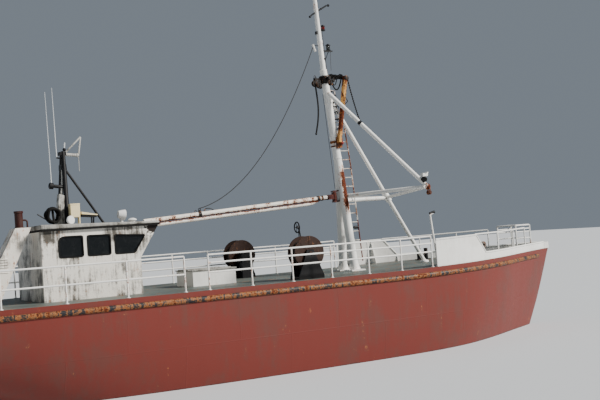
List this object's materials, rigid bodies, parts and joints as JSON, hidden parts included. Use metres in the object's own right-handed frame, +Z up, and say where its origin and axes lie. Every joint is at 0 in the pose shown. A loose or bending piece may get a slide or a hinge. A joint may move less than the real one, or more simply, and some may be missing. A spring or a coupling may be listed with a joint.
{
  "type": "fishing trawler",
  "caption": "Decked steel fishing trawler with an aft wheelhouse, two-legged mast with a boom and outriggers, trawl winches, deck rails, a bow pulpit, a propeller and a rudder.",
  "frame": {"origin": "on the centre plane at the waterline, amidships", "axes": "+X towards the bow, +Y to port, +Z up"},
  "size_m": [22.4, 6.3472, 14.7034],
  "materials": {
    "hull_paint": "weathered matt oxide-red paint",
    "white_paint": "weathered white paint with rust streaks",
    "rusty_steel": "paint gone, brown rust",
    "black_paint": "worn black paint",
    "roof_paint": "chalky grey paint",
    "cream_paint": "faded cream paint",
    "bare_steel": "dull steel",
    "bronze": "dull cast bronze",
    "wood": "worn hardwood",
    "seat_vinyl": "worn black seat cover"
  },
  "bodies": {
    "boat": {"hull": "hull_paint", "bow_bulwark": "white_paint", "side_rail_starboard": "white_paint", "side_rail_port": "white_paint", "quarter_rail_starboard": "white_paint", "quarter_rail_port": "white_paint", "stern_rail": "white_paint", "pulpit": "white_paint", "bow_rail_starboard": "white_paint", "bow_rail_port": "white_paint", "lamp_post": "white_paint", "mast": "white_paint", "mast_ladder": "white_paint", "mast_forward_leg": "white_paint", "outrigger_starboard": "white_paint", "outrigger_port": "white_paint", "hatch_coaming": "white_paint", "cabin_side_starboard": "white_paint", "cabin_side_port": "white_paint", "cabin_front": "white_paint", "cabin_aft": "white_paint", "engine_casing": "white_paint", "masthead": "rusty_steel", "gooseneck_bracket": "rusty_steel", "exhaust_pipe": "rusty_steel", "winch_frame_starboard": "black_paint", "winch_frame_port": "black_paint", "winch_brake_starboard": "black_paint", "windlass_frame": "black_paint", "bitts_fore_starboard": "black_paint", "bitts_fore_port": "black_paint", "bitts_aft_starboard": "black_paint", "bitts_aft_port": "black_paint", "roof_mast": "black_paint", "mast_lantern": "black_paint", "cabin_roof": "roof_paint", "roof_box": "cream_paint", "searchlight": "bare_steel", "helm_console": "wood", "helm_seat": "seat_vinyl"},
    "propeller": {"propeller": "bronze"},
    "rudder": {"rudder": "hull_paint"},
    "boom_swivel": {"gooseneck_swivel": "rusty_steel"},
    "boom": {"boom": "white_paint"},
    "winch_drum_starboard": {"winch_drum_starboard": "rusty_steel"},
    "winch_drum_port": {"winch_drum_port": "rusty_steel"},
    "windlass_drum": {"windlass_drum": "bare_steel"},
    "cabin_door": {"cabin_door": "white_paint"},
    "hatch_lid": {"hatch_lid": "roof_paint"}
  },
  "joints": [
    {"name": "propeller_spin", "type": "hinge", "parent": "boat", "child": "propeller", "pos_m": [-8.68, 0, -1.55], "axis": [1, 0, 0], "continuous": true},
    {"name": "rudder_turn", "type": "hinge", "parent": "boat", "child": "rudder", "pos_m": [-9.6, 0, -1.5], "axis": [0, 0, 1], "range_deg": [-35, 35]},
    {"name": "boom_slew", "type": "hinge", "parent": "boat", "child": "boom_swivel", "pos_m": [1.99, 0, 5.09], "axis": [-0.0776, 0, 0.997], "range_deg": [-85, 85]},
    {"name": "boom_luff", "type": "hinge", "parent": "boom_swivel", "child": "boom", "pos_m": [1.80057, 0, 5.07525], "axis": [0, 1, 0], "range_deg": [0, 55]},
    {"name": "winch_starboard_spin", "type": "hinge", "parent": "boat", "child": "winch_drum_starboard", "pos_m": [-0.54, -2.3, 3.37], "axis": [0, 1, 0], "continuous": true},
    {"name": "winch_port_spin", "type": "hinge", "parent": "boat", "child": "winch_drum_port", "pos_m": [-0.54, 2.3, 3.37], "axis": [0, 1, 0], "continuous": true},
    {"name": "windlass_spin", "type": "hinge", "parent": "boat", "child": "windlass_drum", "pos_m": [7.7, 0, 3.08], "axis": [0, 1, 0], "continuous": true},
    {"name": "door_hinge", "type": "hinge", "parent": "boat", "child": "cabin_door", "pos_m": [-7.906, 1.4623, 3.5], "axis": [0, 0, 1], "range_deg": [0, 110]},
    {"name": "hatch_hinge", "type": "hinge", "parent": "boat", "child": "hatch_lid", "pos_m": [-3.53, 0, 3.09], "axis": [0, -1, 0], "range_deg": [0, 70]}
  ]
}
